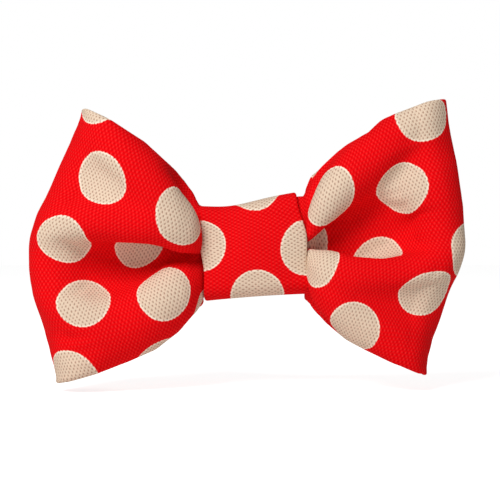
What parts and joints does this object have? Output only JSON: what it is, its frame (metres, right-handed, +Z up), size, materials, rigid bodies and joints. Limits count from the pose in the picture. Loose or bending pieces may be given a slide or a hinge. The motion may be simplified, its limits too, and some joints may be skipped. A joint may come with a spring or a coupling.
{
  "type": "bow tie",
  "caption": "Pre-tied clip-on bow tie: a pleated loop of polka-dot cotton duck, a knot band round its waist and a steel double-jaw clip behind.",
  "frame": {"origin": "middle of the clip plate's back face, which lies against the collar", "axes": "+X to the viewer's right across the wings, +Y towards the wearer's collar, +Z up"},
  "size_m": [0.1136, 0.0252, 0.0734],
  "materials": {
    "dotted_duck": "plain-woven cotton duck, printed red with cream dots, matt",
    "interlining": "needled non-woven interlining, matt",
    "thread": "two-ply polyester sewing thread, slight sheen",
    "clip_steel": "stamped steel with bright nickel plating",
    "spring_steel": "drawn spring wire, oiled",
    "grip_rubber": "moulded synthetic rubber, matt"
  },
  "bodies": {
    "bow": {"bow_shell": "dotted_duck", "bow_interlining": "interlining", "pinch_thread": "thread", "loop_join_stitches": "thread", "knot_band": "dotted_duck", "knot_interlining": "interlining", "knot_seam_stitches": "thread", "clip_base": "clip_steel", "left_hinge_pin": "clip_steel", "right_hinge_pin": "clip_steel", "left_spring": "spring_steel", "right_spring": "spring_steel", "left_grip_pad": "grip_rubber", "right_grip_pad": "grip_rubber"},
    "left_jaw": {"left_jaw": "clip_steel"},
    "right_jaw": {"right_jaw": "clip_steel"}
  },
  "joints": [
    {"name": "left_jaw_hinge", "type": "hinge", "parent": "bow", "child": "left_jaw", "pos_m": [-0.017, 0.0029, 0], "axis": [0, 0, -1], "range_deg": [0, 25], "stiffness_Nm_per_rad": 0.03, "springref_deg": -57.3, "deforming": ["left_spring"]},
    {"name": "right_jaw_hinge", "type": "hinge", "parent": "bow", "child": "right_jaw", "pos_m": [0.017, 0.0029, 0], "axis": [0, 0, 1], "range_deg": [0, 25], "stiffness_Nm_per_rad": 0.03, "springref_deg": -57.3, "deforming": ["right_spring"]}
  ]
}
